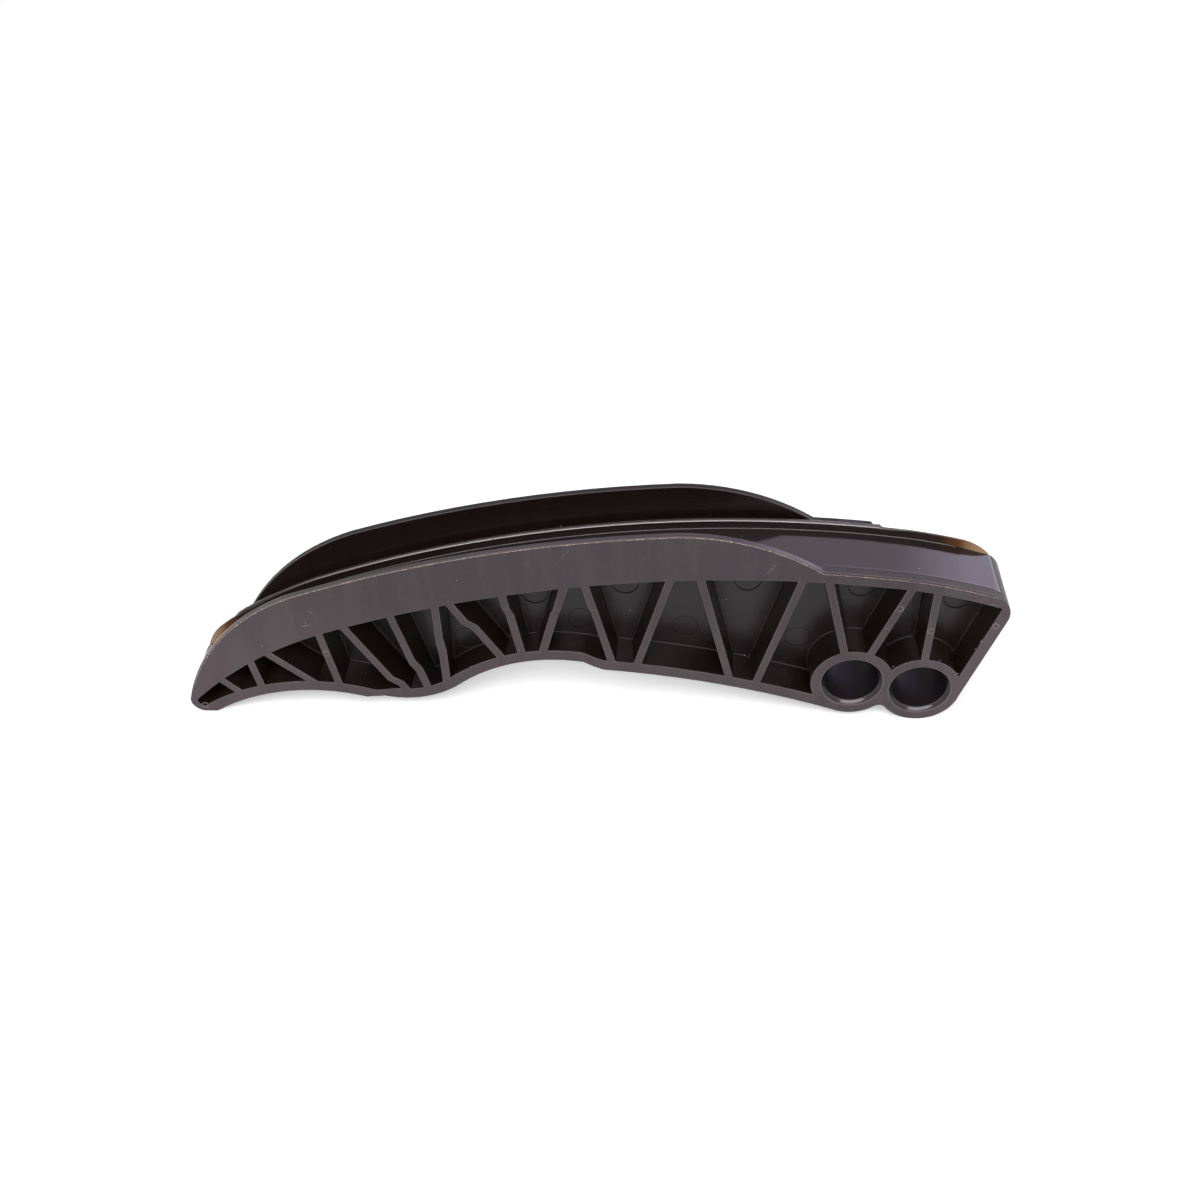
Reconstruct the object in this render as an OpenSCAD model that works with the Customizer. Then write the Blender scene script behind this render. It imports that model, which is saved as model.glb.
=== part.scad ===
// Timing chain guide: a one-piece moulded rail with a truss of ribs on each side of a
// middle web, a flanged running channel on top and two bolt bosses at its fixed end.
// X runs along the rail, Y along the bolt bores and Z up. The origin is the middle of
// the main bore, half way across the width. Sizes are in millimetres.

/* [Width] */
// Overall width of the rail
rail_w = 12.4; // [11.8:0.1:15]
// Thickness of the web in the middle of the width
web_t = 1.8; // [1:0.1:3]

/* [Running surface] */
// Height of the running surface above the main bore at its crest
crest_h = 20.94; // [20:0.1:23]
// Distance of the crest from the main bore, towards the tail
crest_back = 17; // [15:0.5:19]
// Radius of the long middle arc of the running surface
run_r = 176.2; // [165:1:190]
// Distance from the crest to the start of the tail arc
tail_start = 59.6; // [57:0.2:61]
// Radius of the tail arc
tail_r = 61.3; // [56:0.5:68]
// Distance from the crest to the start of the toe arc
toe_start = 21; // [17:0.5:25]
// Radius of the toe arc
toe_r = 76.8; // [65:0.5:100]
// Thickness of the wall under the running surface
top_wall = 1.76; // [1.4:0.02:2.2]

/* [Channel] */
// Height of the flanges above the running surface
flange_h = 6.04; // [5:0.1:7]
// Thickness of the front flange
front_flange_t = 0.9; // [0.7:0.05:1.2]
// Thickness of the rear flange
rear_flange_t = 1; // [0.7:0.05:1.3]
// Width of the low step along the foot of the front flange
step_w = 1.35; // [1.25:0.05:2]
// Height of the low step along the foot of the front flange
step_h = 0.22; // [0.1:0.02:0.5]
// Distance from the front face to the guide bead
channel_w = 9.6; // [8.6:0.1:9.8]
// Thickness of the guide bead
bead_t = 0.9; // [0.6:0.05:1]
// Height of the guide bead above the running surface
bead_h = 1.35; // [0.9:0.05:2]
// Radius of the rounded ends of the guide bead
bead_end_r = 9; // [6:0.5:14]
// Thickness of the thin lip that is left of the bead where the rail is cut back behind it
bead_lip_t = 0.3; // [0.2:0.05:0.6]
// Height of the rear ledge above the running surface
ledge_h = 0.35; // [0.1:0.05:0.7]
// Distance from the crest back to the start of the ramp at the toe end of the flanges
ramp_start = 10.3; // [8:0.1:13]
// Radius of that ramp
ramp_r = 34.4; // [32:0.2:37]
// Distance from the crest to the start of the rear flange's rounded tail
rear_nose_start = 54.8; // [52:0.2:57]
// Radius of the rear flange's rounded tail
rear_nose_r = 34; // [31:0.2:37]
// Distance of the toe end of the rear ledge from the main bore
ledge_toe = 2; // [0:0.1:4]
// Distance of the tail end of the rear ledge from the main bore
ledge_tail = 91.5; // [89:0.1:93]
// Length along the rail of the slanted shoulders at both ends of the rear ledge
shoulder_run = 1.3; // [0.8:0.1:2.4]

/* [Tail] */
// Distance from the crest to the start of the rounded tail
nose_start = 63; // [61.5:0.1:64.5]
// Radius of the rounded tail
nose_r = 31.5; // [30.5:0.1:33]
// Radius of the tip
tip_r = 2.2; // [1.8:0.1:2.6]
// Thickness of the wall round the tip
tip_wall = 1.1; // [0.9:0.05:1.4]

/* [Under side] */
// Thickness of the lower wall
low_wall = 1.85; // [1.4:0.05:2.2]
// Distance of the tail arch's crown from the main bore
tail_arch_back = 80.1; // [79:0.1:81]
// Depth of the tail arch's crown below the main bore
tail_arch_drop = 2.7; // [2.2:0.1:3.2]
// Radius of the tail arch
tail_arch_r = 27.5; // [26.5:0.1:28.5]
// Radius of the knee between the two arches
knee_r = 13.45; // [12:0.05:15]
// Distance of the middle arch's crown from the main bore
mid_arch_back = 43.5; // [43:0.1:44]
// Height of the middle arch's crown above the main bore
mid_arch_rise = 2.92; // [2.5:0.02:3.3]
// Radius of the middle arch
mid_arch_r = 22.87; // [22.2:0.01:23.6]
// Distance of the sole's crown from the main bore
sole_back = 49; // [48:0.2:50]
// Radius of the sole, the long stretch that runs on to the main boss
sole_r = 136.7; // [133:0.1:140]

/* [Bosses] */
// Diameter of both bolt bores
bore_d = 8; // [6:0.1:9]
// Width of the chamfer at the mouths of the bores
bore_chamfer = 0.55; // [0.2:0.05:0.8]
// Outer radius of the main boss
boss_r = 6.05; // [5.8:0.05:6.3]
// Outer radius of the end boss
end_boss_r = 5.95; // [5.7:0.05:6.2]
// Distance of the end bore from the main bore along the rail
end_bore_x = 9.99; // [9.5:0.01:10.5]
// Depth of the end bore below the main bore
end_bore_drop = 1.31; // [1:0.01:1.6]
// Radius of the fillet under the two bosses
boss_fillet = 1.2; // [0.8:0.1:1.6]
// Lean of the end wall from upright, in degrees
end_lean = 18; // [16.5:0.1:19.5]
// Thickness of the end wall
end_wall = 1.75; // [1.3:0.05:2.2]
// Radius of the corner between the running surface and the end wall
end_corner_r = 3.7; // [2:0.1:4.5]

/* [Ribs] */
// Thickness of the ribs at the faces
rib_t = 1.15; // [0.9:0.05:1.5]
// Thickness of the ribs at the web
rib_root_t = 1.6; // [1.5:0.05:2]

/* [Clearance recess] */
// Depth of the recess in the front face over the middle arch
recess_d = 1.1; // [0.5:0.1:1.8]
// Height of the top edge of the recess above the main bore
recess_top = 13.6; // [12.5:0.1:14.5]
// Width of the ramp at the top edge of the recess
recess_top_ramp = 1.9; // [1:0.1:2.5]
// Distance of the toe edge of the recess from the main bore
recess_toe = 36.3; // [35.5:0.1:37.5]
// Width of the ramp at the toe edge of the recess
recess_toe_ramp = 3; // [2:0.1:4]
// Distance of the slanted tail edge of the recess from the main bore, at the bore's height
recess_tail = 67.7; // [66.5:0.1:69]
// Slant of the tail edge of the recess from level, in degrees
recess_slant = 43; // [40:1:46]
// Width of the ramp at the tail edge of the recess
recess_tail_ramp = 2.2; // [1:0.1:3]

/* [Ejector marks] */
// Diameter of the ejector pin marks on the front of the web
mark_d = 3.8; // [3:0.1:4.2]
// Depth of the ejector pin marks
mark_depth = 0.08; // [0.04:0.01:0.2]

/* [Hidden] */
$fn = 96;

// Facets of a full circle on the long arcs
arc_fn = 360;
// How far pieces run into each other and cuts run past a face
lap = 0.5;
// How far a rounding pokes past the faces it joins, so that the arcs cross cleanly
ease = 0.03;
// How far the ends of the ribs run into the walls
bury = 1;
// Anything larger than the whole rail
far = 300;

// Distances along X of the rib tops and rib feet from the main bore, tail to toe
rib_tops = [-93.4, -88.4, -85.6, -77.4, -73.6, -66.6, -60, -57.9, -50.3,
            -41.6, -38.6, -26.8, -22.5, -8.5, -4.8, 6.6, 10.25];
rib_feet = [-91.3, -87.6, -79.8, -75.8, -66.1, -62.8, -59.8, -51.4, -48.3,
            -45.1, -35.1, -31.3, -18, -13.9, -1.6, 2.2, 10];

// Middles of the ejector pin marks from the main bore
marks = [[-56.8, 3.4], [-46.2, 12.2], [-39.7, 7.4], [-33.1, 14.2], [-24.4, 6.1],
         [-15.6, 14.9], [-7.9, 4.2], [0.6, 14], [7, 6.2], [14.4, 11.9]];

// Planes across the width
front_y = -rail_w / 2;
rear_y = rail_w / 2;
bead_y = front_y + channel_w;
bead_rear_y = bead_y + bead_t;
lip_y = bead_y + bead_lip_t;
rib_y = rear_y + lap / 2;
rib_edge_t = rib_t - (rib_root_t - rib_t) * (rib_y / rear_y - 1);

function heading(a) = [cos(a), sin(a)];
function along(p, a, d) = p + d * heading(a);
function angle_of(v) = atan2(v.y, v.x);

// The point at distance r0 from c0 and r1 from c1, left of the way from c0 to c1
function meet(c0, r0, c1, r1) =
  let (d = norm(c1 - c0), e = (c1 - c0) / d)
  let (u = (d * d + r0 * r0 - r1 * r1) / (2 * d))
  c0 + u * e + sqrt(r0 * r0 - u * u) * [-e.y, e.x];

// Centre of an arc of radius r that carries on from the arc (c, r0) at heading a
function next_arc(c, r0, a, r) = along(c, a, r0 - r + ease);

// Centres and joining headings of the running surface's three arcs
run_c = [-crest_back, crest_h - run_r];
tail_a = 90 + asin(tail_start / run_r);
toe_a = 90 - asin(toe_start / run_r);
tail_c = next_arc(run_c, run_r, tail_a, tail_r);
toe_c = next_arc(run_c, run_r, toe_a, toe_r);
tail_x = along(run_c, tail_a, run_r).x;
toe_x = along(run_c, toe_a, run_r).x;

// Arcs of the flanges' upper edges
rim_r = run_r + flange_h;
tail_rim_r = tail_r + flange_h;
ramp_a = 90 + asin(ramp_start / rim_r);
ramp_c = next_arc(run_c, rim_r, ramp_a, ramp_r);
nose_a = acos((-crest_back - nose_start - tail_c.x) / tail_rim_r);
nose_c = next_arc(tail_c, tail_rim_r, nose_a, nose_r);
rear_nose_a = 90 + asin(rear_nose_start / rim_r);
rear_nose_c = next_arc(run_c, rim_r, rear_nose_a, rear_nose_r);

// Bores, the level the guide stands on and the tip, which stands on it too
main_bore = [0, 0];
end_bore = [end_bore_x, -end_bore_drop];
ground = -end_bore_drop - end_boss_r;
tip_z = ground + tip_r - ease;
tip_run = sqrt(pow(nose_r - tip_r + ease, 2) - pow(tip_z - nose_c.y, 2));
tip_c = [nose_c.x - tip_run, tip_z];
tip_a = angle_of(tip_c - nose_c);

// Circles of the under side: the knee joins both arches, the sole runs on to the main boss
tail_arch_c = [-tail_arch_back, -tail_arch_drop - tail_arch_r];
mid_arch_c = [-mid_arch_back, mid_arch_rise - mid_arch_r];
knee_c = meet(tail_arch_c, tail_arch_r + knee_r - ease, mid_arch_c, mid_arch_r + knee_r - ease);
sole_c = [-sole_back, -sqrt(pow(sole_r + boss_r - ease, 2) - pow(sole_back, 2))];
sole_end = along(main_bore, angle_of(sole_c), boss_r);

// Fillet under the bosses
fillet_c = meet(end_bore, end_boss_r + boss_fillet - ease, main_bore, boss_r + boss_fillet - ease);

// End wall: its outer face touches the end boss and rounds into the running surface
end_n = heading(-end_lean);
end_up = heading(90 - end_lean);
end_foot = end_bore + (end_boss_r - ease) * end_n;
corner_in = (end_foot - toe_c) * end_n - end_corner_r + ease;
corner_up = sqrt(pow(toe_r - end_corner_r + ease, 2) - pow(corner_in, 2));
corner_c = toe_c + corner_in * end_n + corner_up * end_up;
corner_a = angle_of(corner_c - toe_c);

// Rounded ends of the guide bead, which run out just past the corner of the toe and over the tip
bead_run = sqrt(2 * bead_end_r * bead_h);
bead_past = end_corner_r * 0.2;
bead_toe_end = corner_a - bead_past / toe_r * 180 / PI;
bead_tail_end = acos((tip_c.x - tip_r / 2 - tail_c.x) / tail_r);
bead_toe_a = bead_toe_end + bead_run / toe_r * 180 / PI;
bead_tail_a = bead_tail_end - bead_run / tail_r * 180 / PI;
bead_toe_c = next_arc(toe_c, toe_r + bead_h, bead_toe_a, bead_end_r);
bead_tail_c = next_arc(tail_c, tail_r + bead_h, bead_tail_a, bead_end_r);

// Height of a circle's upper side at x, far down where the circle doesn't reach
function top_of(c, r, x) = abs(x - c.x) < r ? c.y + sqrt(r * r - pow(x - c.x, 2)) : -far;

// Height of the running surface, moved up by d, at x
function run_z(x, d) = x < tail_x ? top_of(tail_c, tail_r + d, x)
                     : x > toe_x ? top_of(toe_c, toe_r + d, x)
                     : top_of(run_c, run_r + d, x);

// Height of the lower wall's inner face in the knee at x
function knee_z(x) = abs(x - knee_c.x) < knee_r / 2
                   ? knee_c.y - sqrt(pow(knee_r - low_wall, 2) - pow(x - knee_c.x, 2)) : -far;

// Height of whatever a rib stands on at x
function foot_z(x) = max(top_of(tail_arch_c, tail_arch_r + low_wall, x),
                         knee_z(x),
                         top_of(mid_arch_c, mid_arch_r + low_wall, x),
                         x > mid_arch_c.x ? top_of(sole_c, sole_r + low_wall, x) : -far,
                         top_of(main_bore, boss_r, x),
                         top_of(end_bore, end_boss_r, x));

module disc(c, r) {
  translate(c) circle(r, $fn = arc_fn);
}

// Half plane on one side (turn = 90 or -90) of the line through c along heading a
module half(c, a, turn) {
  polygon([along(c, a, -far), along(c, a, far),
           along(along(c, a, far), a + turn, far), along(along(c, a, -far), a + turn, far)]);
}

// A disc, or anything on the free side of the line where the disc takes over
module arc_beyond(c, r, from_c, a, turn) {
  disc(c, r);
  half(from_c, a, turn);
}

// A side outline carried across the width from y0 to y1
module slab(y0, y1) {
  translate([0, y1, 0]) rotate([90, 0, 0]) linear_extrude(y1 - y0) children();
}

// Everything above the level the guide stands on, moved up by t
module above_ground(t) {
  translate([-far, ground + t]) square([2 * far, far]);
}

// Everything under the running surface moved up by d
module under_run(d) {
  intersection() {
    disc(run_c, run_r + d);
    arc_beyond(tail_c, tail_r + d, run_c, tail_a, -90);
    arc_beyond(toe_c, toe_r + d, run_c, toe_a, 90);
  }
}

// Everything inside the rounded tail and the tip, moved in by t
module inside_tail(t) {
  intersection() {
    above_ground(t);
    arc_beyond(nose_c, nose_r - t, tail_c, nose_a, -90);
    union() {
      disc(tip_c, tip_r - t);
      polygon([tip_c, along(tip_c, tip_a, far), [-far, far], [far, far], [far, -far], [tip_c.x, -far]]);
    }
  }
}

// Everything above the under side, moved in by t at the lower wall and te at the end wall
module above_sole(t, te) {
  difference() {
    intersection() {
      union() {
        disc(knee_c, knee_r - t);
        polygon([knee_c, tail_arch_c, [-far, tail_arch_c.y], [-far, far], [far, far],
                 [far, mid_arch_c.y], mid_arch_c]);
      }
      polygon([[-far, -far], [sole_end.x, -far], sole_end, main_bore, end_bore,
               end_foot - te * end_n, end_foot - te * end_n + far * end_up, [-far, far]]);
    }
    disc(tail_arch_c, tail_arch_r + t);
    disc(mid_arch_c, mid_arch_r + t);
    intersection() {
      disc(sole_c, sole_r + t);
      translate([-mid_arch_back, -far]) square([far, 2 * far]);
    }
  }
}

// Everything inside the rounded corner at the toe
module inside_corner() {
  disc(corner_c, end_corner_r);
  polygon([corner_c, along(corner_c, -end_lean, far), [far, -far], [-far, -far], [-far, far],
           along(corner_c, corner_a, far)]);
}

module bosses_outline() {
  disc(main_bore, boss_r);
  disc(end_bore, end_boss_r);
}

// Side outline of the rail below the running surface
module outer_outline() {
  intersection() {
    under_run(0);
    inside_tail(0);
    above_sole(0, 0);
    inside_corner();
  }
  bosses_outline();
  difference() {
    polygon([main_bore, end_bore, fillet_c]);
    disc(fillet_c, boss_fillet);
  }
}

// Side outline of the space inside the walls
module inner_outline() {
  difference() {
    intersection() {
      under_run(-top_wall);
      inside_tail(tip_wall);
      above_sole(low_wall, end_wall);
    }
    bosses_outline();
  }
}

// A drafted rib across the width, from foot point q up to top point p
module rib(p, q) {
  translate([q.x, 0, q.y])
    rotate([0, 90 - angle_of(p - q), 0])
      translate([0, 0, -bury])
        linear_extrude(norm(p - q) + 2 * bury)
          polygon([[-rib_edge_t / 2, -rib_y], [rib_edge_t / 2, -rib_y], [rib_root_t / 2, 0],
                   [rib_edge_t / 2, rib_y], [-rib_edge_t / 2, rib_y], [-rib_root_t / 2, 0]]);
}

// Walls, web and ribs
module truss() {
  slab(front_y - lap, rear_y + lap) difference() {
    outer_outline();
    inner_outline();
  }
  slab(-web_t / 2, web_t / 2) outer_outline();
  for (i = [0 : len(rib_tops) - 1])
    rib([rib_tops[i], run_z(rib_tops[i], -top_wall)], [rib_feet[i], foot_z(rib_feet[i])]);
}

// A strip that stands d above the running surface and is let into the wall under it, as far
// as heading a at the toe
module run_strip(d, a = corner_a) {
  intersection() {
    difference() {
      under_run(d);
      under_run(-lap);
    }
    inside_tail(0);
    half(toe_c, a, 90);
  }
}

module front_flange() {
  slab(front_y - lap, front_y + front_flange_t) difference() {
    intersection() {
      above_ground(0);
      disc(run_c, rim_r);
      arc_beyond(tail_c, tail_rim_r, run_c, tail_a, -90);
      arc_beyond(nose_c, nose_r, tail_c, nose_a, -90);
      arc_beyond(ramp_c, ramp_r, run_c, ramp_a, 90);
    }
    under_run(-lap);
  }
  slab(front_y - lap, front_y + step_w) run_strip(step_h);
}

module rear_flange() {
  slab(rear_y - rear_flange_t, rear_y + lap) difference() {
    intersection() {
      above_ground(0);
      disc(run_c, rim_r);
      arc_beyond(rear_nose_c, rear_nose_r, run_c, rear_nose_a, -90);
      arc_beyond(ramp_c, ramp_r, run_c, ramp_a, 90);
    }
    under_run(-lap);
  }
  slab(bead_y + bead_t / 2, rear_y + lap) run_strip(ledge_h);
}

// Guide bead along the rear of the channel, rounded down at both ends
module bead() {
  slab(bead_y, bead_rear_y) intersection() {
    run_strip(bead_h, bead_toe_end);
    arc_beyond(bead_tail_c, bead_end_r, tail_c, bead_tail_a, -90);
    arc_beyond(bead_toe_c, bead_end_r, toe_c, bead_toe_a, 90);
  }
}

// Both ends of the rail are cut back to a thin lip of the bead, with a slanted shoulder
module rear_relief() {
  past = 2 * lap;
  back = past * shoulder_run / (rear_y - lip_y);
  translate([0, 0, -far / 2]) linear_extrude(far) {
    polygon([[ledge_toe - back, rear_y + past], [ledge_toe + shoulder_run, lip_y],
             [far, lip_y], [far, rear_y + past]]);
    polygon([[back - ledge_tail, rear_y + past], [-ledge_tail - shoulder_run, lip_y],
             [-far, lip_y], [-far, rear_y + past]]);
  }
}

// Everything in front of a ramp that starts at point p of the front face, heads along
// angle a into the recess and reaches full depth after width w
module ramp_cut(p, a, w) {
  translate([p.x, front_y, p.y])
    rotate([0, -a, 0])
      linear_extrude(2 * far, center = true)
        polygon([[-w, -recess_d], [w, recess_d], [far, recess_d], [far, -recess_d]]);
}

module recess() {
  intersection() {
    ramp_cut([0, recess_top], -90, recess_top_ramp);
    ramp_cut([-recess_toe, 0], 180, recess_toe_ramp);
    ramp_cut([-recess_tail, 0], recess_slant - 90, recess_tail_ramp);
  }
}

// Through bore with a chamfer at each mouth
module bore(c) {
  r = bore_d / 2;
  slab(front_y - 3 * lap, rear_y + 3 * lap) translate(c) circle(r);
  for (side = [0, 1])
    mirror([0, side, 0])
      translate([c.x, front_y - lap, c.y])
        rotate([-90, 0, 0])
          cylinder(h = bore_chamfer + lap, r1 = r + bore_chamfer + lap, r2 = r);
}

// Shallow round marks that the ejector pins leave on the front of the web
module ejector_marks() {
  for (c = marks)
    slab(-web_t / 2 - lap, -web_t / 2 + mark_depth) translate(c) circle(d = mark_d);
}

// Every moulded form, run past the front and rear faces
module moulding() {
  difference() {
    union() {
      truss();
      rear_flange();
      bead();
    }
    rear_relief();
  }
  front_flange();
  slab(front_y - 2 * lap, rear_y + 2 * lap) bosses_outline();
}

// The moulding cut flush at both faces, with its recess, marks and bores
module guide_rail() {
  color([0.2, 0.16, 0.16])
    difference() {
      intersection() {
        moulding();
        slab(front_y, rear_y) square(2 * far, center = true);
      }
      recess();
      ejector_marks();
      bore(main_bore);
      bore(end_bore);
    }
}

guide_rail();
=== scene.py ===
# %% [markdown]
# # A moulded timing chain guide
# The guide is one dark brown nylon moulding. A chain runs in the channel on its top,
# a truss of ribs stiffens its sides and two bosses take the bolts. The CAD part holds the
# form, so this lesson is about what a mould and a chain leave on it: softened edges,
# polished running surfaces, matte sides, a sparkling parting line and ejector marks.

# %% Load the frame
import math

import bmesh
import bpy
import numpy as np
from mathutils import Matrix, Vector


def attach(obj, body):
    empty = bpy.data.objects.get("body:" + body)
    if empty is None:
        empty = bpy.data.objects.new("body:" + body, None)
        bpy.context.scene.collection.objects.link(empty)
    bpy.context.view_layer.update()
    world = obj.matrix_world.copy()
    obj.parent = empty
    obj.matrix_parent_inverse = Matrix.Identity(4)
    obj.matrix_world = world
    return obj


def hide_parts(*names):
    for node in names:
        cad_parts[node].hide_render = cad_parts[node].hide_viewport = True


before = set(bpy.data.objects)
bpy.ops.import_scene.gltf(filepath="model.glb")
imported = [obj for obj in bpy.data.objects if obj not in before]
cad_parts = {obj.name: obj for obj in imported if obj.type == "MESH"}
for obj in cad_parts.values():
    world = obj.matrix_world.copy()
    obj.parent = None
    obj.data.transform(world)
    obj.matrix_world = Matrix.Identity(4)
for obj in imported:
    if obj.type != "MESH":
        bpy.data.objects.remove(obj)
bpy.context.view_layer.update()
MM = 0.001

# %% [markdown]
# ## Writing shader maths as plain expressions
# A Blender material is a graph of nodes. Placing each Math node by hand is slow to read,
# so one small class wraps a socket: adding or multiplying two of them adds the Math node,
# and the method `node` adds any other kind. A finish then reads like a formula.


# %% A socket that can be added and multiplied
class Flow:
    """A node socket that carries a value, a colour or a vector through one node tree."""

    def __init__(self, tree, socket):
        self.tree = tree
        self.socket = socket

    def node(self, kind, settings=None, inputs=None, out=0):
        """Adds a node, makes its settings, fills its sockets, and gives one output back."""
        made = self.tree.nodes.new(kind)
        for name, value in (settings or {}).items():
            if name == "stops":
                ramp = made.color_ramp.elements
                while len(ramp) < len(value):
                    ramp.new(0.5)
                for element, (place, colour) in zip(ramp, value):
                    element.position = place
                    element.color = colour
            else:
                setattr(made, name, value)
        for name, value in (inputs or {}).items():
            if isinstance(value, Flow):
                self.tree.links.new(value.socket, made.inputs[name])
            else:
                made.inputs[name].default_value = value
        return Flow(self.tree, made.outputs[out])

    def math(self, operation, *values):
        """Adds a Math node that works on these values."""
        return self.node("ShaderNodeMath", {"operation": operation}, dict(enumerate(values)))

    def __add__(self, other):
        return self.math("ADD", self, other)

    __radd__ = __add__

    def __mul__(self, other):
        return self.math("MULTIPLY", self, other)

    __rmul__ = __mul__

    def __sub__(self, other):
        return self.math("SUBTRACT", self, other)

    def __rsub__(self, other):
        return self.math("SUBTRACT", other, self)

    def __gt__(self, other):
        return self.math("GREATER_THAN", self, other)

    def __lt__(self, other):
        return self.math("LESS_THAN", self, other)

    def rise(self, low, high):
        """0 below low, 1 above high and an even S-shaped climb between them."""
        return self.node(
            "ShaderNodeMapRange",
            {"interpolation_type": "SMOOTHSTEP"},
            {"Value": self, "From Min": low, "From Max": high},
        )

    def mix(self, first, second):
        """The first colour where this mask is 0 and the second where it is 1."""
        return self.node(
            "ShaderNodeMix",
            {"data_type": "RGBA"},
            {0: self, 6: first, 7: second},
            out=2,
        )

    def grey(self):
        """A colour whose red, green and blue are all this value."""
        return self.node("ShaderNodeCombineXYZ", None, {axis: self for axis in range(3)})

    def noise(self, coordinates, scale, detail=2.0):
        """Soft noise from 0 to 1 that has scale lumps in each unit of the coordinates."""
        return self.node(
            "ShaderNodeTexNoise", None, {"Vector": coordinates, "Scale": scale, "Detail": detail}
        )


def new_material(name):
    """An empty node material: its Principled shader and a Flow to write its maths with."""
    material = bpy.data.materials.new(name)
    material.use_nodes = True
    shader = material.node_tree.nodes["Principled BSDF"]
    return material, shader, Flow(material.node_tree, None)


def feed(flow, shader, **sockets):
    """Links each Flow to the shader's socket of that name, or sets a plain number on it."""
    for name, value in sockets.items():
        socket = shader.inputs[name.replace("_", " ")]
        if isinstance(value, Flow):
            flow.tree.links.new(value.socket, socket)
        else:
            socket.default_value = value


print("Shader maths ready")

# %% [markdown]
# ## The running surface as a function
# Everything on top of the rail follows one chain of arcs: a long crest of 176 mm radius
# that tightens into a tail and a toe. The same arcs, moved up by the flange's height, are
# the flange's rim, with a rounded nose at the tail and a ramp at the toe. Writing the arcs
# once as functions of x lets every later mark sit exactly on the moulding.

# %% The arcs of the side view
RUN_C, RUN_R = np.array([-17.0, -155.26]), 176.2
TAIL_C, TAIL_R, TAIL_X = np.array([-55.875, -47.105]), 61.3, -76.6
TOE_C, TOE_R, TOE_X = np.array([-5.15, -56.54]), 76.8, 4.0
FLANGE_H = 6.04
NOSE_C, NOSE_R, NOSE_X = np.array([-68.726, -13.616]), 31.5, -80.0
RAMP_C, RAMP_R, RAMP_X = np.array([-25.357, -7.626]), 34.4, -27.3
RAMP_FOOT_X, FAR_RIM_Y, SHADOW_LINE_Y, SHADOW_LINE_TO_STRIP = -5.6, 5.3, -4.92, 0.5
FRONT_Y, REAR_Y = -6.2, 6.2


def arc_height(x, centre, radius):
    """Height of a circle's upper side at x: centre plus the root of r squared less dx squared."""
    return centre[1] + np.sqrt(np.maximum(radius**2 - (x - centre[0]) ** 2, 0.0))


def running_height(x, lift=0.0):
    """Height of the running surface at x, moved outwards by lift, arc by arc."""
    middle = arc_height(x, RUN_C, RUN_R + lift)
    tail = arc_height(x, TAIL_C, TAIL_R + lift)
    toe = arc_height(x, TOE_C, TOE_R + lift)
    return np.where(x < TAIL_X, tail, np.where(x > TOE_X, toe, middle))


def rim_height(x, inset=0.0):
    """Height of the front flange's rim at x, moved inwards by inset: nose, crest, then ramp."""
    lifted = running_height(x, FLANGE_H - inset)
    nose = arc_height(x, NOSE_C, NOSE_R - inset)
    ramp = arc_height(x, RAMP_C, RAMP_R - inset)
    return np.where(x < NOSE_X, nose, np.where(x > RAMP_X, ramp, lifted))


print("Crest height", round(float(running_height(np.array(-17.0))), 2), "mm")

# %% [markdown]
# ## Softened edges
# A mould gives no knife edges: each outer corner of the real moulding is rounded by about
# a tenth of a millimetre, and that rounding draws the thin light lines along the ribs. A
# Bevel on the CAD mesh would trip over its loose triangles. So a copy is merged and its
# flat areas become single faces. Then four groups of edges are rounded in turn: the top of
# the guide bead, its foot, the roots of the ribs and all edges that turn outwards. The
# ejector marks are shallower than the rounding and keep their crisp rings. Each new face
# stores its kind of rounding as a number, so that a painted highlight can lighten the nylon
# there on top of the light the rounding catches.

# %% The moulding with softened edges
EDGE_ROUND, BEAD_ROUND, ROOT_ROUND = 0.11 * MM, 0.38 * MM, 0.2 * MM
SHARP_TURN = math.radians(28)
WEB_FRONT_Y, MARK_DEPTH = -0.86 * MM, 0.06 * MM
BEAD_FRONT_Y, BEAD_REAR_Y, BEAD_H, REACH = 3.4, 4.3, 1.35, 0.06
FULL_BEAD_X, FOOT_X, LINE_END_X = (-92.0, 2.9), (-92.0, 15.0), 2.5
FRONT_LEAN, LINE_LEAN = 0.8, 0.55
POCKET_DEPTH = 1.5 * MM
SAME_POINT, NO_LENGTH, FLAT_TURN = 2e-6, 5e-7, math.radians(0.4)
# The kinds of rounding, as the numbers that a face stores
ROOT, CROWN_FRONT, OUTER, CROWN_TOP, CROWN_LINE = -1.0, 0.0, 1.0, 1.5, 3.0


def sharp(edge):
    """True where two faces meet at more than the sharp angle."""
    return len(edge.link_faces) == 2 and edge.calc_face_angle(0.0) > SHARP_TURN


def ends(edge):
    """The edge's two ends in millimetres, as rows of x, y and z."""
    return np.array([vertex.co for vertex in edge.verts]) / MM


def on_bead(edge, span, lift, *planes):
    """True for an edge along that span of the bead, lifted so far, in one of the planes."""
    x, y, z = ends(edge).T
    full = (x > span[0]) & (x < span[1])
    level = np.abs(z - running_height(x, lift)) < REACH
    return any(bool(np.all(full & level & (np.abs(y - plane) < REACH))) for plane in planes)


def wants_rounding(edge):
    """True for a sharp outward edge that doesn't lie in the web's front face."""
    in_web = all(abs(vertex.co.y - WEB_FRONT_Y) < MARK_DEPTH for vertex in edge.verts)
    return sharp(edge) and edge.is_convex and not in_web


def at_rib_root(edge):
    """True for an inward edge where the deep side of a pocket meets the web."""
    on_web = all(abs(abs(vertex.co.y) + WEB_FRONT_Y) < MARK_DEPTH for vertex in edge.verts)
    if not on_web or not sharp(edge) or edge.is_convex:
        return False
    depths = [np.ptp([vertex.co.y for vertex in face.verts]) for face in edge.link_faces]
    return max(depths) > POCKET_DEPTH


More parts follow.
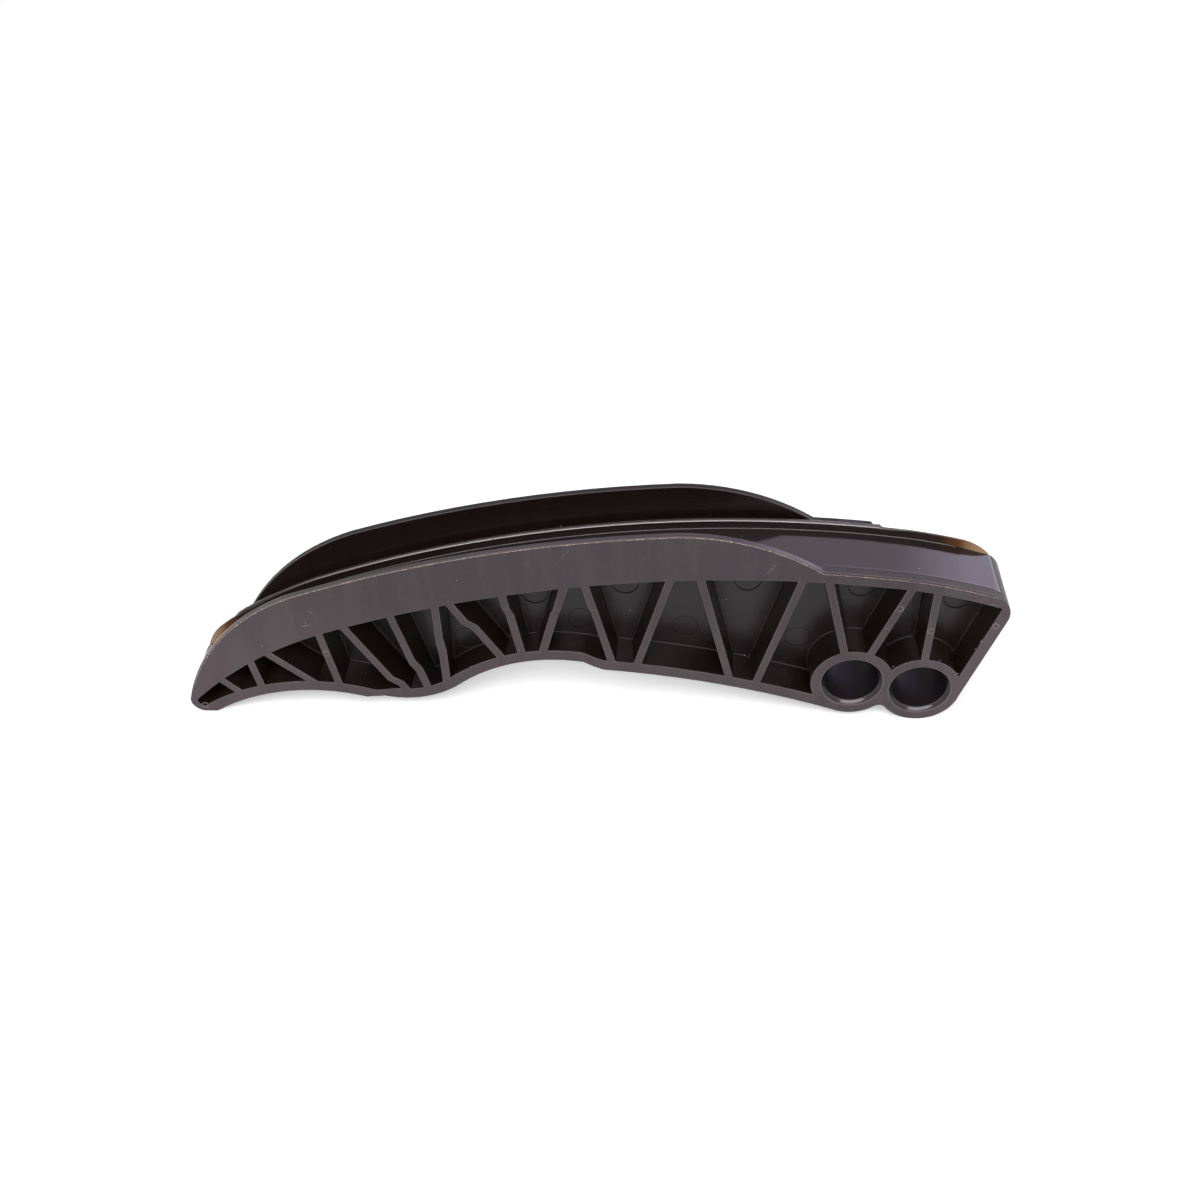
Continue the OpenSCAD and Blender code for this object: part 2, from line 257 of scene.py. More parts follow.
def crown_part(face):
    """Which part of the bead's crown a face is, from how far it leans to the front."""
    lean = -face.normal.y
    if lean > FRONT_LEAN:
        return CROWN_FRONT
    on_line = lean > LINE_LEAN and face.calc_center_median().x < LINE_END_X * MM
    return CROWN_LINE if on_line else CROWN_TOP


def round_edges(shape, edges, width, steps):
    """Rounds these edges to that width and gives the new faces back."""
    return bmesh.ops.bevel(
        shape,
        geom=edges,
        offset=width,
        offset_type="OFFSET",
        segments=steps,
        profile=0.5,
        affect="EDGES",
        clamp_overlap=False,
    )["faces"]


def softened_copy(node, name):
    """The node's triangles merged, its flat areas joined and its sharp edges rounded."""
    shape = bmesh.new()
    shape.from_mesh(node.data)
    shape.transform(node.matrix_world)
    bmesh.ops.remove_doubles(shape, verts=shape.verts, dist=SAME_POINT)
    bmesh.ops.dissolve_limit(
        shape,
        angle_limit=FLAT_TURN,
        use_dissolve_boundaries=False,
        verts=shape.verts,
        edges=shape.edges,
    )
    rounded = shape.faces.layers.float.new("rounded")
    crown = (FULL_BEAD_X, BEAD_H, BEAD_FRONT_Y, BEAD_REAR_Y)
    bead = [edge for edge in shape.edges if sharp(edge) and on_bead(edge, *crown)]
    for face in round_edges(shape, bead, BEAD_ROUND, 5):
        face.normal_update()
        face[rounded] = crown_part(face)
    foot_line = (FOOT_X, 0.0, BEAD_FRONT_Y)
    foot = [edge for edge in shape.edges if sharp(edge) and on_bead(edge, *foot_line)]
    for face in round_edges(shape, foot, EDGE_ROUND, 3):
        face[rounded] = OUTER
    roots = [edge for edge in shape.edges if at_rib_root(edge)]
    for face in round_edges(shape, roots, ROOT_ROUND, 3):
        face[rounded] = ROOT
    outward = [edge for edge in shape.edges if wants_rounding(edge)]
    for face in round_edges(shape, outward, EDGE_ROUND, 2):
        face[rounded] = OUTER
    bmesh.ops.dissolve_degenerate(shape, dist=NO_LENGTH, edges=shape.edges)
    counts = [len(edges) for edges in (bead, foot, roots, outward)]
    print("Rounded edges of bead, foot, rib roots and outer corners:", counts)
    mesh = bpy.data.meshes.new(name)
    shape.to_mesh(mesh)
    shape.free()
    return mesh


def show(name, mesh):
    """Puts a mesh into the scene as a piece of that name, smooth except at sharp turns."""
    mesh.polygons.foreach_set("use_smooth", np.ones(len(mesh.polygons), dtype=bool))
    mesh.set_sharp_from_angle(angle=SHARP_TURN)
    piece = bpy.data.objects.new(name, mesh)
    bpy.context.scene.collection.objects.link(piece)
    return piece


rail_mesh = softened_copy(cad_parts["guide_rail"], "moulded_rail")
moulded_rail = show("moulded_rail", rail_mesh)
weighted = moulded_rail.modifiers.new("even_shading", "WEIGHTED_NORMAL")
weighted.keep_sharp = True
print("Moulding", len(rail_mesh.vertices), "points,", len(rail_mesh.polygons), "faces")

# %% [markdown]
# ## Which face has which finish
# The steel of the mould is polished where the chain runs, satin in the pockets and left
# with a fine spark-eroded grain on the two sides. The material needs to know which face it
# is on. Painting that by hand would be slow, so each face's place and direction decide it,
# and the answer is stored on the mesh as face attributes the shader can read.

# %% Finish attributes from each face's place
MAIN_BORE, END_BORE = (0.0, 0.0), (9.99, -1.31)
BORE_REACH, BORE_MOUTH_Y, RECESS_Y = 4.6, 5.5, -4.9
FACING, SIDE_SKIN, FLOOR_SKIN, LIP_REACH, LIP_FOOT = 0.8, 0.1, 0.3, 0.5, 0.05
SIDE_POLISH, POCKET_POLISH, FLANGE_POLISH, BORE_POLISH, CHANNEL_POLISH = 0.0, 0.5, 0.6, 0.8, 1.0


def face_arrays(mesh):
    """Centres in millimetres and unit normals of all faces, as two arrays of rows."""
    centres, normals = np.empty(len(mesh.polygons) * 3), np.empty(len(mesh.polygons) * 3)
    mesh.polygons.foreach_get("center", centres)
    mesh.polygons.foreach_get("normal", normals)
    return centres.reshape(-1, 3) / MM, normals.reshape(-1, 3)


def store(mesh, name, values):
    """Writes one number per face as an attribute of that name."""
    layer = mesh.attributes.new(name, "FLOAT", "FACE")
    layer.data.foreach_set("value", np.asarray(values, dtype=np.float32))


centres, normals = face_arrays(rail_mesh)
x, y, z = centres.T
faces_front, faces_rear = normals[:, 1] < -FACING, normals[:, 1] > FACING
side = (faces_front & (y < RECESS_Y)) | (faces_rear & (y > REAR_Y - SIDE_SKIN))
bead_front = faces_front & (np.abs(y - BEAD_FRONT_Y) < REACH)
flange_inside = (faces_front & (y > BEAD_FRONT_Y)) | (faces_rear & (y < RECESS_Y))
channel = ((z > running_height(x) - FLOOR_SKIN) & ~side) | bead_front | flange_inside
bore = np.zeros(len(x), dtype=bool)
for bore_x, bore_z in (MAIN_BORE, END_BORE):
    bore |= (np.hypot(x - bore_x, z - bore_z) < BORE_REACH) & ~side
core = bore & (np.abs(y) < BORE_MOUTH_Y)
near_bead = np.abs(y - BEAD_FRONT_Y) < LIP_REACH
lip = channel & near_bead & (z > running_height(x) + LIP_FOOT)
areas = [flange_inside, channel, side, bore]
polishes = [FLANGE_POLISH, CHANNEL_POLISH, SIDE_POLISH, BORE_POLISH]
store(rail_mesh, "polish", np.select(areas, polishes, POCKET_POLISH))
store(rail_mesh, "core", core)
store(rail_mesh, "thin", lip | bead_front)
print("Faces: side", side.sum(), "channel", channel.sum(), "bore", core.sum(), "thin", lip.sum())

# %% [markdown]
# ## Dark brown nylon
# Nylon dyed dark brown looks grey where its grain scatters light, nearly black where it is
# polished, and amber where it is thin enough for light to pass. One material does it all:
# the polish attribute picks the colour and the roughness, stretched noise gives the faint
# flow bands of the filling melt, small cells give dust, and the thin ends of the bead are
# tinted from brown to amber. The bores were formed by dull steel pins, so a second shader
# that hardly shines is mixed in there, with a painted violet reflection towards their rear
# mouths. The same shader is mixed in part on the far rim and along the foot of the near
# flange as painted shade, and painted light and painted highlights lighten the sides and
# the softened edges.

# %% Where the nylon is, and what it is like there
GRAIN_TONE = (0.046, 0.032, 0.036, 1)
GREY_TONE = (0.0445, 0.0335, 0.0365, 1)
GLOSS_TONE = (0.0125, 0.0065, 0.0058, 1)
CHANNEL_TONE = (0.0145, 0.0078, 0.0072, 1)
# Painted highlights on the softened edges and on the bead's crown
EDGE_HIGHLIGHT_TONE = (0.125, 0.107, 0.107, 1)
CROWN_HIGHLIGHT_TONE = (0.30, 0.28, 0.28, 1)
DUST_TONE = (0.34, 0.32, 0.31, 1)
# Painted shadow line and painted reflection beside the near flange's foot
SHADOW_LINE_TONE = (0.014, 0.010, 0.011, 1)
STRIP_REFLECTION_TONE = (0.040, 0.034, 0.042, 1)
SHINE_TINT = (1.0, 0.92, 1.0, 1)
CORE_TONE = (0.0078, 0.0072, 0.0125, 1)
# Painted violet reflection inside the bores
BORE_REFLECTION_TONE = (0.045, 0.041, 0.066, 1)
# Where along the rail or up its sides each change runs, in millimetres
TOE_PAINTED_LIGHT, TAIL_PAINTED_LIGHT, LOW_PAINTED_LIGHT = (4.0, 20.0), (-98.0, -58.0), (3.0, 17.0)
THIN_TOE, THIN_TAIL, CROWN_HIGHLIGHT_FADE = (6.5, 18.0), (-97.3, -88.0), (-88.0, -70.0)
ON_CHANNEL, BORE_REFLECTION_SHIFT = 0.9, 0.8
SIDE_ROUGH, POCKET_ROUGH, CHANNEL_ROUGH = 0.54, 0.30, 0.11
SPECK_SIZE, SPECK_SPREAD, BARE_SHARE = 0.028, 0.034, 0.66
BAND_STRETCH = (0.50, 0.4, 0.05)
AMBER_STOPS = [
    (0.0, (0.0145, 0.0078, 0.0072, 1)),
    (0.40, (0.026, 0.011, 0.006, 1)),
    (0.78, (0.125, 0.048, 0.013, 1)),
    (1.0, (0.40, 0.255, 0.145, 1)),
]

nylon, nylon_shader, flow = new_material("dark_brown_nylon")
place = flow.node(
    "ShaderNodeMapping",
    None,
    {
        "Vector": flow.node("ShaderNodeTexCoord", None, None, "Object"),
        "Scale": (1 / MM, 1 / MM, 1 / MM),
    },
)
place_x, place_y, place_z = [
    flow.node("ShaderNodeSeparateXYZ", None, {"Vector": place}, axis) for axis in "XYZ"
]
polish, rounded, thin, core_face = [
    flow.node("ShaderNodeAttribute", {"attribute_name": name}, None, "Fac")
    for name in ("polish", "rounded", "thin", "core")
]
# Past the ramp's foot the flange's footprint stays as matte as the sides and is darkened as
# painted shade, with a painted shadow line along its inner edge and a painted reflection on
# a strip of floor beside that.
on_channel = polish > ON_CHANNEL
toe_half = on_channel * (place_x > RAMP_FOOT_X)
footprint = toe_half * (place_y < RECESS_Y)
far_rim = on_channel * (place_y > FAR_RIM_Y)
painted_shadow_line = toe_half * (1 - flow.math("ABSOLUTE", place_y - SHADOW_LINE_Y).rise(0.06, 0.16))
off_strip = flow.math("ABSOLUTE", place_y - (SHADOW_LINE_Y + SHADOW_LINE_TO_STRIP))
painted_strip_reflection = toe_half * (1 - off_strip.rise(0.1, 0.3))
polish = polish * (1 - footprint)

# Flow bands run up the sides, so the noise is drawn out most along z.
stretched = flow.node("ShaderNodeMapping", None, {"Vector": place, "Scale": BAND_STRETCH})
bands = flow.noise(stretched, 1.0, 4.0)
clouds = flow.noise(place, 0.12, 3.0)
mottle = flow.noise(place, 1.3, 4.0)
grain = flow.noise(place, 9.0, 4.0)
specks, speck_draw = [
    flow.node("ShaderNodeTexVoronoi", {"feature": "F1"}, {"Vector": place, "Scale": 0.5}, out)
    for out in ("Distance", "Color")
]
speck_draw = flow.node("ShaderNodeSeparateColor", None, {"Color": speck_draw}, "Red")
dust = (specks < SPECK_SIZE + SPECK_SPREAD * mottle) * (speck_draw > BARE_SHARE)
print("Nylon fields ready")

# %% The nylon's colour, gloss and grain
tone = bands.rise(0.42, 0.60).mix(GRAIN_TONE, GREY_TONE)
tone = polish.rise(0.1, 0.5).mix(tone, GLOSS_TONE)
tone = polish.rise(0.85, 1.0).mix(tone, CHANNEL_TONE)
# Bands, clouds and mottle vary the tone at random; lowering it on the footprint is painted shade.
shade = 0.14 + 0.70 * bands + 0.26 * clouds + 0.28 * mottle - 0.16 * footprint
# Painted light: the sides are made a little lighter towards both ends and lower down,
# light that the lamps alone don't give them.
shade = shade + 0.52 * place_x.rise(*TOE_PAINTED_LIGHT) + 0.30 * (1 - place_x.rise(*TAIL_PAINTED_LIGHT))
shade = shade + 0.30 * (1 - place_z.rise(*LOW_PAINTED_LIGHT)) * (1 - polish.rise(0.0, 0.4))
tone = flow.node(
    "ShaderNodeMix",
    {"data_type": "RGBA", "blend_type": "MULTIPLY"},
    {0: 1.0, 6: tone, 7: shade.grey()},
    2,
)
nearness = place_x.rise(*THIN_TOE) + (1 - place_x.rise(*THIN_TAIL))
amber = flow.node("ShaderNodeValToRGB", {"stops": AMBER_STOPS}, {"Fac": nearness})
tone = (thin * (nearness > 0.01)).mix(tone, amber)
# The crown's painted highlight lines fade out towards the tail, where the bead sinks behind the
# flange.
crown_highlight_reach = place_x.rise(*CROWN_HIGHLIGHT_FADE)
on_crown, on_line = rounded > (OUTER + CROWN_TOP) / 2, rounded > (CROWN_TOP + CROWN_LINE) / 2
# Painted highlights: the softened edges and the crown are lightened, the crown's front line most.
painted_highlight = rounded * (0.28 + 0.5 * mottle) * (1 - on_crown * (1 - crown_highlight_reach))
# Painted shade: on the far rim these painted highlights are mostly dimmed.
tone = (painted_highlight * (1 - 0.7 * far_rim)).mix(tone, EDGE_HIGHLIGHT_TONE)
tone = (on_line * crown_highlight_reach).mix(tone, CROWN_HIGHLIGHT_TONE)
# Painted reflection: a lighter violet strip of floor beside the flange's foot.
tone = (0.8 * painted_strip_reflection).mix(tone, STRIP_REFLECTION_TONE)
# Painted shadow: a dark line along the inner edge of the flange's footprint.
tone = painted_shadow_line.mix(tone, SHADOW_LINE_TONE)
tone = (dust * 0.75).mix(tone, DUST_TONE)

rough = SIDE_ROUGH - (SIDE_ROUGH - POCKET_ROUGH) * polish.rise(SIDE_POLISH, POCKET_POLISH)
rough = rough - (POCKET_ROUGH - CHANNEL_ROUGH) * polish.rise(POCKET_POLISH, CHANNEL_POLISH)
# Grain and clouds vary it, and the fillets at the rib roots and the painted shadow line
# shine less.
rough = rough + 0.10 * (grain - 0.5) + 0.08 * (clouds - 0.5)
rough = rough + 0.32 * (rounded < ROOT / 2) + 0.3 * painted_shadow_line
relief = flow.node(
    "ShaderNodeBump",
    None,
    {"Strength": 0.12, "Distance": 0.05 * MM, "Height": grain * (1 - 0.9 * polish)},
)
feed(flow, nylon_shader, Base_Color=tone, Roughness=rough, Normal=relief)
feed(flow, nylon_shader, IOR=1.53, Specular_Tint=SHINE_TINT)

dull = nylon.node_tree.nodes.new("ShaderNodeBsdfPrincipled")
core_tone = mottle.rise(0.35, 0.65).mix(CORE_TONE, GLOSS_TONE)
# Painted reflection: a violet streak rising towards the rear mouth of each bore.
off_bores = [
    flow.math("ABSOLUTE", place_x - (bore_x - BORE_REFLECTION_SHIFT)) for bore_x, _ in (MAIN_BORE, END_BORE)
]
painted_bore_reflection = 1 - flow.math("MINIMUM", *off_bores).rise(1.0, 2.4)
core_tone = (painted_bore_reflection * place_y.rise(-4.0, 5.0)).mix(core_tone, BORE_REFLECTION_TONE)
feed(flow, dull, Base_Color=core_tone, Roughness=0.42 + 0.1 * grain, Specular_IOR_Level=0.12)
blend = nylon.node_tree.nodes.new("ShaderNodeMixShader")
# The dull shader covers the bores' core, and as painted shade the far rim, the shadow line and
# part of the footprint.
dullness = core_face + 0.8 * far_rim + 0.45 * painted_shadow_line + 0.14 * footprint * (1 - painted_shadow_line)
feed(flow, blend, Fac=dullness)
for slot_number, source in ((1, nylon_shader), (2, dull)):
    nylon.node_tree.links.new(source.outputs["BSDF"], blend.inputs[slot_number])
output = nylon.node_tree.nodes["Material Output"]
nylon.node_tree.links.new(blend.outputs["Shader"], output.inputs["Surface"])
rail_mesh.materials.append(nylon)
print("Nylon nodes:", len(nylon.node_tree.nodes))

# %% [markdown]
# ## The parting line
# Where the two halves of the mould meet, a hair of nylon is squeezed out. Trimmed away, it
# leaves a thin light line just under the rim of the near flange. It is a tube a few
# hundredths of a millimetre thick, carried along the rim's own arcs and half sunk into the
# face. Its thickness is drawn at random from a fixed seed, so that it sparkles unevenly.

# %% A tube along a path
SIDES = 6


def tube(path, radii, closed=False):
    """Rows of a tube: at each path point a ring of that radius, across the path's direction.

    The ring's two axes are the path's normal in the side view and the y direction.
    """
    along = np.roll(path, -1, 0) - np.roll(path, 1, 0) if closed else np.gradient(path, axis=0)
    normal = np.stack([-along[:, 2], np.zeros(len(path)), along[:, 0]], 1)
    normal /= np.linalg.norm(normal, axis=1)[:, None]
    turn = np.linspace(0, 2 * np.pi, SIDES, endpoint=False)
    ring = np.cos(turn)[None, :, None] * normal[:, None, :]
    ring = ring + np.sin(turn)[None, :, None] * np.array([0.0, 1.0, 0.0])
    points = path[:, None, :] + radii[:, None, None] * ring
    rows, nxt = np.arange(len(path)), np.roll(np.arange(len(path)), -1)
    if not closed:
        rows, nxt = rows[:-1], nxt[:-1]
    spoke, spoke_next = np.arange(SIDES), np.roll(np.arange(SIDES), -1)
    quads = np.stack(
        [
            rows[:, None] * SIDES + spoke,
            rows[:, None] * SIDES + spoke_next,
            nxt[:, None] * SIDES + spoke_next,
            nxt[:, None] * SIDES + spoke,
        ],
        2,
    ).reshape(-1, 4)
    faces = quads.tolist()
    if not closed:
        last = (len(path) - 1) * SIDES
        faces += [spoke[::-1].tolist(), (last + spoke).tolist()]
    return points.reshape(-1, 3), faces


def tubes_mesh(name, tubes):
    """One mesh of several tubes, with their place in millimetres turned into metres."""
    points, faces, start = [], [], 0
    for tube_points, tube_faces in tubes:
        points.append(tube_points)
        faces += [[index + start for index in face] for face in tube_faces]
        start += len(tube_points)
    mesh = bpy.data.meshes.new(name)
    mesh.from_pydata((np.concatenate(points) * MM).tolist(), [], faces)
    shape = bmesh.new()
    shape.from_mesh(mesh)
    bmesh.ops.recalc_face_normals(shape, faces=shape.faces)
    shape.to_mesh(mesh)
    shape.free()
    return mesh


print("Tube of", SIDES, "sides ready")

# %% The light line under the rim
LINE_INSET, LINE_SINK, LINE_X, LINE_POINTS = 0.22, 0.01, (-97.8, 18.6), 1200
LINE_THIN, LINE_THICK, LINE_PEAKS = 0.028, 0.056, 2.5
PAST_RAMP_X, PAST_RAMP_SHARE = (-9.0, -3.0), (1.0, 0.7)
TRIM_TONE, PAINTED_GLINT_TONE = (0.26, 0.180, 0.155, 1), (0.86, 0.68, 0.61, 1)
draws = np.random.default_rng(11)


def uneven(steps, low, high, sharpness):
    """A seeded row of thicknesses from low to high, mostly low, with short peaks."""
    knots = draws.random(steps // 2) ** sharpness
    return low + (high - low) * np.interp(np.arange(steps), np.arange(len(knots)) * 2, knots)


line_x = np.linspace(*LINE_X, LINE_POINTS)
line_z = np.maximum(rim_height(line_x, LINE_INSET), running_height(line_x, -LINE_INSET))
line_path = np.stack([line_x, np.full_like(line_x, FRONT_Y + LINE_SINK), line_z], 1)
line_t = uneven(LINE_POINTS, LINE_THIN, LINE_THICK, LINE_PEAKS)
line_t = line_t * np.interp(line_x, PAST_RAMP_X, PAST_RAMP_SHARE)
line_mesh = tubes_mesh("parting_line", [tube(line_path, line_t)])
parting_line = show("parting_line", line_mesh)

# The trimmed line is pale nylon; the bright specks in its colour are painted glints.
trim, trim_shader, flow = new_material("trimmed_nylon")
glint = flow.noise(flow.node("ShaderNodeTexCoord", None, None, "Object"), 4200.0, 2.0)
feed(
    flow,
    trim_shader,
    Base_Color=glint.rise(0.36, 0.70).mix(TRIM_TONE, PAINTED_GLINT_TONE),
    Roughness=0.25 + 0.3 * glint,
)
line_mesh.materials.append(trim)
print("Parting line", len(line_mesh.polygons), "faces")

# %% [markdown]
# ## Pin rings and scuffs
# Round pins push the moulding out of the mould. Each one leaves a hair-thin ring round its
# print on the web, and smaller pins leave little rings on the ribs and the end wall.
# Handling adds a few scuffs and nicks on the near face. A picture texture could show them,
# but as rings and threads half sunk into the face they catch the light by themselves.

# %% Where the rings and scuffs are
PIN_RING_R, PIN_RING_T, WEB_Y, RING_POINTS = 1.9, 0.06, -0.9, 48
PIN_PRINTS = [
    (-56.8, 3.4), (-46.2, 12.2), (-39.7, 7.4), (-33.1, 14.2), (-24.4, 6.1),
    (-15.6, 14.9), (-7.9, 4.2), (0.6, 14.0), (7.0, 6.2), (14.4, 11.9),
]
SMALL_RING_R, SMALL_RING_T, RING_SINK = 0.46, (0.03, 0.07), 0.015
SMALL_PRINTS = [(-76.8, 4.8), (5.35, 14.25), (10.15, 10.2), (19.0, 11.2), (-96.9, -6.0)]
SCUFF_T, SCUFF_POINTS, FACE_SINK = (0.012, 0.045), 16, 0.012
SCUFFS = [
    ((-80.67, 12.2), (-80.85, 10.4)),
    ((-79.5, 10.1), (-78.4, 10.3)),
    ((-78.9, 10.9), (-79.1, 9.5)),
    ((-78.1, 13.0), (-77.3, 12.0)),
    ((-42.5, 21.9), (-40.6, 24.3)),
    ((-13.5, 20.4), (-12.4, 22.0)),
    ((17.6, 15.35), (18.5, 15.0)),
]
NICK_T, NICK_HALF = (0.03, 0.07), np.array([0.12, 0.1])
NICKS = [
    (3.86, 10.6), (12.09, 4.51), (16.83, 6.89), (17.42, 8.37),
    (18.09, 9.25), (14.97, 2.03), (7.3, 3.9), (5.6, 3.29),
]

print("Marks:", len(PIN_PRINTS), "pin prints,", len(SMALL_PRINTS + SCUFFS + NICKS), "small ones")


# %% Rings and scuffs as thin tubes
def ring_path(centre, radius, depth):
    """A circle in the side view: the centre plus radius times cosine and sine, at that depth."""
    turn = np.linspace(0, 2 * np.pi, RING_POINTS, endpoint=False)
    ring_x, ring_z = centre[0] + radius * np.cos(turn), centre[1] + radius * np.sin(turn)
    return np.stack([ring_x, np.full_like(turn, depth), ring_z], 1)


def scuff_path(start, end):
    """A straight stroke on the near face: start plus a share of the way to the end."""
    share = np.linspace(0, 1, SCUFF_POINTS)[:, None]
    stroke = np.array(start) + share * (np.array(end) - np.array(start))
    return np.stack([stroke[:, 0], np.full(SCUFF_POINTS, FRONT_Y + FACE_SINK), stroke[:, 1]], 1)


pin_tubes = [
    tube(ring_path(centre, PIN_RING_R, WEB_Y), np.full(RING_POINTS, PIN_RING_T), closed=True)
    for centre in PIN_PRINTS
]
pin_mesh = tubes_mesh("pin_rings", pin_tubes)
pin_rings = show("pin_rings", pin_mesh)
scuff_tubes = []
for centre in SMALL_PRINTS:
    ring = ring_path(centre, SMALL_RING_R, FRONT_Y + RING_SINK)
    scuff_tubes.append(tube(ring, uneven(RING_POINTS, *SMALL_RING_T, 1.5), closed=True))
for stroke in SCUFFS:
    scuff_tubes.append(tube(scuff_path(*stroke), uneven(SCUFF_POINTS, *SCUFF_T, 1.0)))
for nick in NICKS:
    stroke = scuff_path(nick - NICK_HALF, nick + NICK_HALF)
    scuff_tubes.append(tube(stroke, uneven(SCUFF_POINTS, *NICK_T, 1.0)))
scuff_mesh = tubes_mesh("scuffs", scuff_tubes)
scuffs = show("scuffs", scuff_mesh)

print("Tubes:", len(pin_tubes), "on the web and", len(scuff_tubes), "on the near face")

# %% Nylon of the rings and scuffs
# Painted shade: the pin rings are near black for the shadow in the thin gap round each print.
PAINTED_RING_SHADE_DARK, PAINTED_RING_SHADE_LIGHT = (0.004, 0.003, 0.003, 1), (0.010, 0.007, 0.007, 1)
SCUFF_DARK, SCUFF_LIGHT = (0.10, 0.084, 0.084, 1), (0.32, 0.285, 0.28, 1)

print_ring, ring_shader, flow = new_material("pin_ring_nylon")
haze = flow.noise(flow.node("ShaderNodeTexCoord", None, None, "Object"), 900.0, 2.0)
feed(
    flow,
    ring_shader,
    Base_Color=haze.mix(PAINTED_RING_SHADE_DARK, PAINTED_RING_SHADE_LIGHT),
    Roughness=0.45 + 0.2 * haze,
)
pin_mesh.materials.append(print_ring)

worn, worn_shader, flow = new_material("scuffed_nylon")
haze = flow.noise(flow.node("ShaderNodeTexCoord", None, None, "Object"), 1100.0, 2.0)
feed(
    flow,
    worn_shader,
    Base_Color=haze.rise(0.3, 0.7).mix(SCUFF_DARK, SCUFF_LIGHT),
    Roughness=0.5 + 0.2 * haze,
)
scuff_mesh.materials.append(worn)
print("Rings and scuffs:", len(pin_mesh.polygons) + len(scuff_mesh.polygons), "faces")

# %% [markdown]
# ## Riding on the frame
# The moulding stands for the CAD node of the same shape, and all pieces move with the one
# body of the part.

# %% Tie the pieces to the part
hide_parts("guide_rail")
for piece in (moulded_rail, parting_line, pin_rings, scuffs):
    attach(piece, "root")
print("Pieces riding on root:", moulded_rail.name, parting_line.name, pin_rings.name, scuffs.name)

# %% [markdown]
# ## A white table and soft light
# The guide lies on a white table under large softboxes, so it has a soft contact shadow
# and long, even reflections. A darker table would be easier to expose, but the moulding's
# sides get their grey from it. The table keeps its shadow, and only rays that come straight
# from the camera see a little extra white, more of it further away. The glows behind the
# rail light nothing: they are there to be mirrored in its polished channel.

# %% The table
GROUND_Z = -7.26 * MM
TABLE_HALF = 3.0
NEAR_GLOW, FAR_GLOW, FAR_FROM = 0.38, 0.6, (0.4, 1.6)

table_mesh = bpy.data.meshes.new("table")
table_mesh.from_pydata(
    [(x * TABLE_HALF, y * TABLE_HALF, GROUND_Z) for x, y in ((-1, -1), (1, -1), (1, 1), (-1, 1))],
    [],
    [(0, 1, 2, 3)],
)
table = bpy.data.objects.new("table", table_mesh)
bpy.context.scene.collection.objects.link(table)
white, white_shader, flow = new_material("white_table")
seen = flow.node("ShaderNodeLightPath", None, None, "Is Camera Ray")
table_place = flow.node("ShaderNodeTexCoord", None, None, "Object")
away = flow.node("ShaderNodeVectorMath", {"operation": "LENGTH"}, {0: table_place}, "Value")
glow = seen * (NEAR_GLOW + FAR_GLOW * away.rise(*FAR_FROM))
feed(
    flow,
    white_shader,
    Base_Color=(0.90, 0.90, 0.90, 1),
    Roughness=0.9,
    Specular_IOR_Level=0.0,
    Emission_Color=glow.grey(),
    Emission_Strength=1.0,
)
table_mesh.materials.append(white)
print("Table", 2 * TABLE_HALF, "m wide at z =", GROUND_Z)

# %% Lamps and surroundings
MIDDLE = Vector((-0.03, 0.0, 0.01))
PINK, VIOLET = (1.0, 0.4, 1.0), (0.75, 0.72, 1.0)
# Glows that are each turned a little further make one that fades in along the channel.
GLOW_AZIMUTHS, GLOW_AWAY, GLOW_Z = (39.0, 42.5, 45.0, 47.5), 0.88, 0.30


def softbox(name, place, size, radiance, colour=(1, 1, 1), lights_all=True):
    """A lamp of that width and height, facing the part, of radiance times pi times area watts.

    A lamp that doesn't light all shows only in reflections.
    """
    lamp = bpy.data.lights.new(name, "AREA")
    lamp.shape = "RECTANGLE"
    lamp.size, lamp.size_y = size
    lamp.energy, lamp.color = radiance * math.pi * size[0] * size[1], colour
    holder = bpy.data.objects.new(name, lamp)
    holder.location = place
    holder.rotation_euler = (MIDDLE - Vector(place)).to_track_quat("-Z", "Y").to_euler()
    holder.visible_camera, holder.visible_diffuse = False, lights_all
    bpy.context.scene.collection.objects.link(holder)


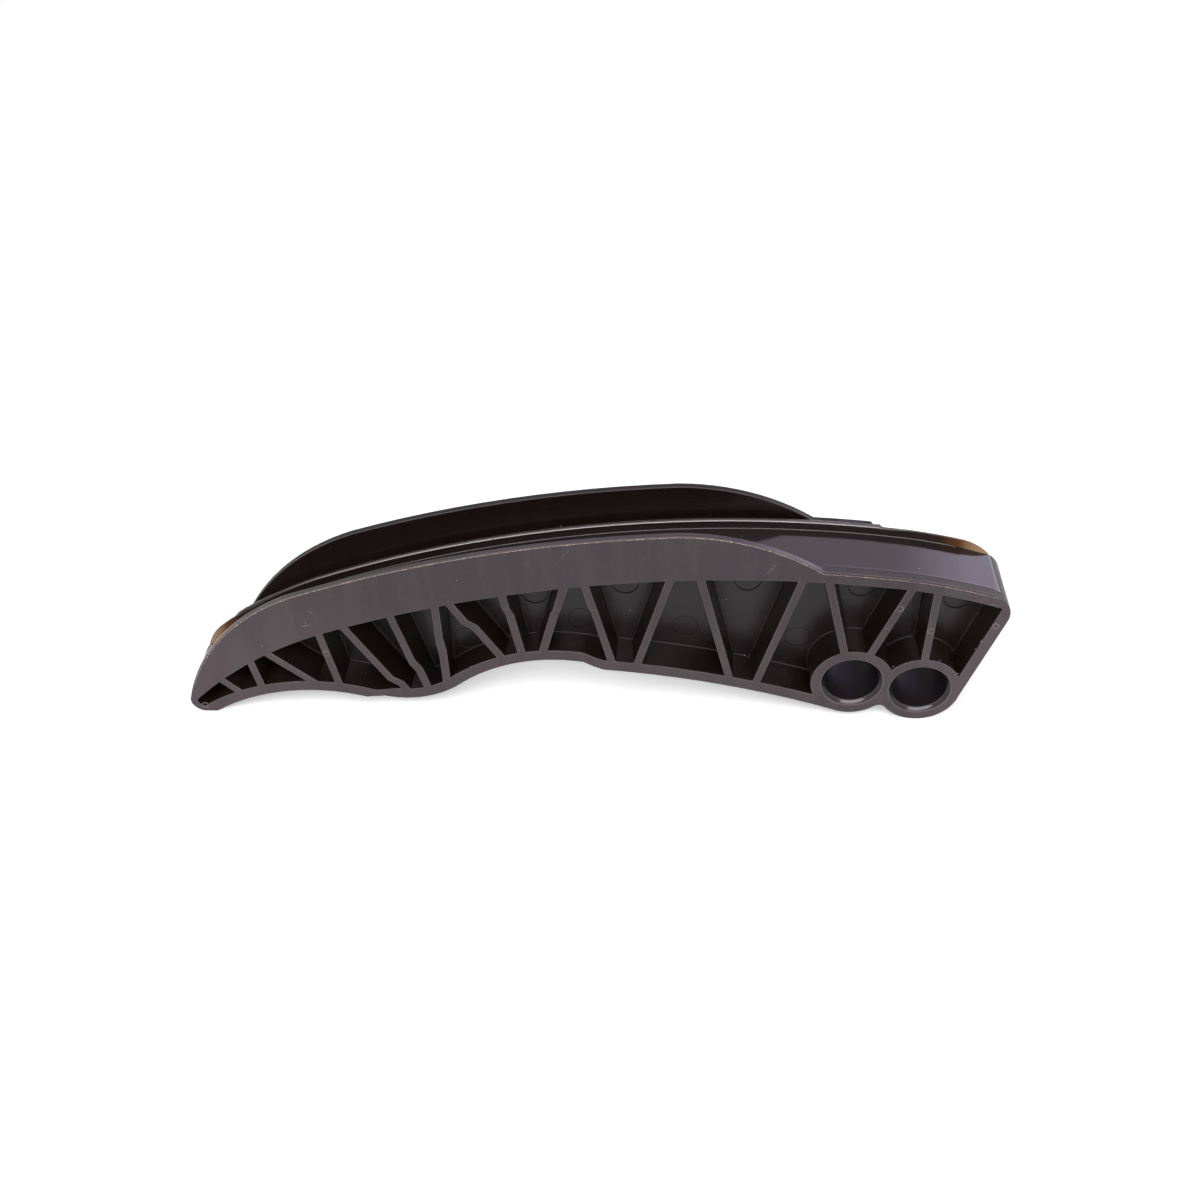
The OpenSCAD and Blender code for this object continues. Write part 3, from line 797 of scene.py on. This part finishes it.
softbox("key_box", (-0.03, -0.58, 0.70), (1.28, 0.42), 5.5)
softbox("back_glow", (0.05, 0.62, 0.52), (0.9, 0.5), 0.3, PINK, lights_all=False)
for step, azimuth in enumerate(GLOW_AZIMUTHS, 1):
    turn = math.radians(azimuth)
    spot = (GLOW_AWAY * math.sin(turn), GLOW_AWAY * math.cos(turn), GLOW_Z)
    softbox(f"right_glow_{step}", spot, (0.44, 0.6), 0.35, VIOLET, lights_all=False)

world = bpy.data.worlds.new("studio")
bpy.context.scene.world = world
world.use_nodes = True
sky = world.node_tree.nodes["Background"]
flow = Flow(world.node_tree, None)
rays = [
    flow.node("ShaderNodeLightPath", None, None, kind)
    for kind in ("Is Camera Ray", "Is Glossy Ray", "Is Transmission Ray")
]
direct = rays[0].math("MAXIMUM", rays[0], rays[1].math("MAXIMUM", rays[1], rays[2]))
feed(flow, sky, Color=(1, 1, 1, 1), Strength=0.35 + 0.65 * direct)
print("Lamps:", [light.name for light in bpy.data.lights])

# %% [markdown]
# ## The camera
# The viewpoint was worked out from the picture: two bolt holes of the same size and the
# known arcs fix where it stood, about 21 cm away and 40 degrees above the table.

# %% Camera at the photograph's viewpoint
CAMERA_AT = Vector((-28.38, -156.18, 142.52)) * MM
LOOK = Vector((-0.04142, 0.7624, -0.64578)).normalized()
RIGHT = Vector((0.99911, 0.03669, -0.02076)).normalized()
LENS, SENSOR = 42.12, 36.0

eye = bpy.data.cameras.new("photo_view")
eye.lens, eye.sensor_width, eye.clip_start = LENS, SENSOR, 0.005
eye.dof.use_dof = False
camera = bpy.data.objects.new("photo_view", eye)
turned = Matrix((RIGHT, RIGHT.cross(LOOK), -LOOK)).transposed()
camera.matrix_world = Matrix.Translation(CAMERA_AT) @ turned.to_4x4()
bpy.context.scene.collection.objects.link(camera)
bpy.context.scene.camera = camera
bpy.context.scene.view_settings.view_transform = "Standard"
print("Camera", [round(v, 4) for v in CAMERA_AT], "lens", LENS)

# %% [markdown]
# ## The end
# The view layer is brought up to date once every piece is in place.

# %% Finish
bpy.context.view_layer.update()
